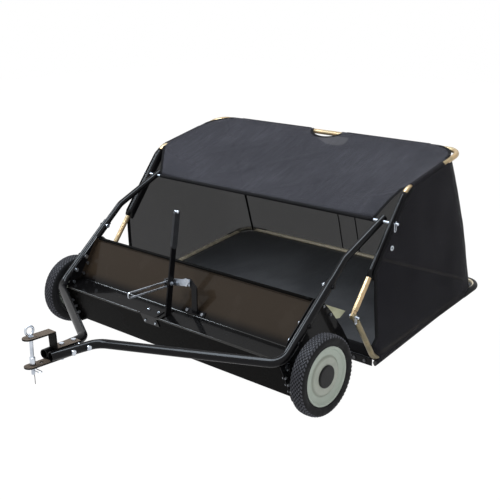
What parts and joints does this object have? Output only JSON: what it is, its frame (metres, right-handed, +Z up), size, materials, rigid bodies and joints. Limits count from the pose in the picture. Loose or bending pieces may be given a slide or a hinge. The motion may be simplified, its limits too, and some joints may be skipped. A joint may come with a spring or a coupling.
{
  "type": "lawn sweeper",
  "caption": "Tow-behind lawn sweeper: a wheel-driven rotary brush in a sheet housing throws leaves into a tipping fabric hopper on folding tube frames.",
  "frame": {"origin": "on the ground under the middle of the machine's box", "axes": "+Z up, -Y towards the tow vehicle, +X towards the left wheel"},
  "size_m": [1.363, 1.743, 0.7722],
  "materials": {
    "black_paint": "gloss black powder coat",
    "hood_paint": "gloss dark brown-black coat",
    "strap_steel": "dark coated strap steel",
    "bright_zinc": "bright zinc plate",
    "yellow_zinc": "yellow zinc plate",
    "grip_rubber": "matt dip-coated grip",
    "black_plastic": "moulded black",
    "tyre_rubber": "matt rubber",
    "rim_plastic": "pale grey moulded plastic",
    "bristle": "black nylon strands",
    "mesh_cloth": "open coated weave",
    "floor_cloth": "smooth coated sheet"
  },
  "bodies": {
    "root": {"side_plate_left": "black_paint", "side_plate_right": "black_paint", "hood_panel": "hood_paint", "front_skirt": "black_paint", "draw_tube_left": "black_paint", "draw_tube_right": "black_paint", "upper_arm_left": "black_paint", "upper_arm_right": "black_paint", "frame_bolts": "bright_zinc", "sheet_bolts": "bright_zinc", "hitch_strap_upper": "strap_steel", "hitch_strap_lower": "strap_steel", "hitch_bolts": "bright_zinc", "stop_bracket_left": "yellow_zinc", "stop_bracket_right": "yellow_zinc", "lever_bracket": "black_paint", "lock_post": "black_paint", "lock_strap": "bright_zinc", "brush_bearings": "bright_zinc", "cross_bushes": "bright_zinc"},
    "lever": {"height_lever": "black_paint", "lever_grip": "grip_rubber", "cross_shaft": "black_paint", "clamp_bolt": "bright_zinc"},
    "knob": {"lock_knob": "black_plastic"},
    "left_arm": {"wheel_arm_left": "black_paint", "axle_left": "bright_zinc"},
    "right_arm": {"wheel_arm_right": "black_paint", "axle_right": "bright_zinc"},
    "left_wheel": {"tyre_left": "tyre_rubber", "rim_left": "rim_plastic", "hub_cap_left": "black_plastic"},
    "right_wheel": {"tyre_right": "tyre_rubber", "rim_right": "rim_plastic", "hub_cap_right": "black_plastic"},
    "left_pinion": {"pinion_left": "bright_zinc"},
    "right_pinion": {"pinion_right": "bright_zinc"},
    "brush": {"brush_shaft": "bright_zinc", "brush_core": "black_plastic", "brush_bristles": "bristle"},
    "hopper_upper": {"upper_frame": "yellow_zinc", "tipping_rod": "bright_zinc", "rod_clips": "bright_zinc", "top_sheet": "mesh_cloth", "rear_panel": "mesh_cloth", "side_panel_left": "mesh_cloth", "side_panel_right": "mesh_cloth", "eyelets": "bright_zinc", "hinge_pins": "bright_zinc", "hinge_clips": "bright_zinc"},
    "hopper_lower": {"lower_frame": "yellow_zinc", "front_bar": "black_paint", "bar_bolts": "bright_zinc", "floor_sheet": "floor_cloth"},
    "hitch_pin": {"draw_pin": "bright_zinc", "draw_clip": "bright_zinc"}
  },
  "joints": [
    {"name": "height_lever", "type": "hinge", "parent": "root", "child": "lever", "pos_m": [0, -0.2475, 0.165], "axis": [1, 0, 0], "range_deg": [0, 18]},
    {"name": "lock_knob", "type": "hinge", "parent": "lever", "child": "knob", "pos_m": [-0.022, -0.22503, 0.31533], "axis": [1, 0, 0], "range_deg": [0, 180]},
    {"name": "left_arm", "type": "hinge", "parent": "root", "child": "left_arm", "pos_m": [0.574, -0.11051, 0.128], "axis": [1, 0, 0], "range_deg": [-9.25, 0.05]},
    {"name": "right_arm", "type": "hinge", "parent": "root", "child": "right_arm", "pos_m": [-0.574, -0.11051, 0.128], "axis": [1, 0, 0], "range_deg": [-9.25, 0.05]},
    {"name": "left_wheel_spin", "type": "hinge", "parent": "left_arm", "child": "left_wheel", "pos_m": [0.6555, -0.1815, 0.14], "axis": [1, 0, 0], "continuous": true},
    {"name": "right_wheel_spin", "type": "hinge", "parent": "right_arm", "child": "right_wheel", "pos_m": [-0.6555, -0.1815, 0.14], "axis": [1, 0, 0], "continuous": true},
    {"name": "left_pinion_spin", "type": "hinge", "parent": "left_arm", "child": "left_pinion", "pos_m": [0.6425, -0.11051, 0.128], "axis": [1, 0, 0], "continuous": true},
    {"name": "right_pinion_spin", "type": "hinge", "parent": "right_arm", "child": "right_pinion", "pos_m": [-0.6425, -0.11051, 0.128], "axis": [1, 0, 0], "continuous": true},
    {"name": "brush_spin", "type": "hinge", "parent": "root", "child": "brush", "pos_m": [0, -0.11051, 0.128], "axis": [1, 0, 0], "continuous": true},
    {"name": "hopper_dump", "type": "hinge", "parent": "root", "child": "hopper_upper", "pos_m": [0, 0.2261, 0.5678], "axis": [1, 0, 0], "range_deg": [0, 95]},
    {"name": "hopper_fold", "type": "hinge", "parent": "hopper_upper", "child": "hopper_lower", "pos_m": [0, 0.0125, 0.283], "axis": [1, 0, 0], "range_deg": [0, 30], "deforming": ["side_panel_left", "side_panel_right", "rear_panel"]},
    {"name": "draw_pin_turn", "type": "hinge", "parent": "root", "child": "hitch_pin", "pos_m": [0, -0.8415, 0.24], "axis": [0, 0, 1], "continuous": true}
  ],
  "couplings": [
    {"joint": "left_arm", "follows": "height_lever", "ratio": -0.51117},
    {"joint": "right_arm", "follows": "height_lever", "ratio": -0.51117},
    {"joint": "left_pinion_spin", "follows": "left_wheel_spin", "ratio": 5},
    {"joint": "right_pinion_spin", "follows": "right_wheel_spin", "ratio": 5},
    {"joint": "brush_spin", "follows": "left_wheel_spin", "ratio": 5}
  ]
}
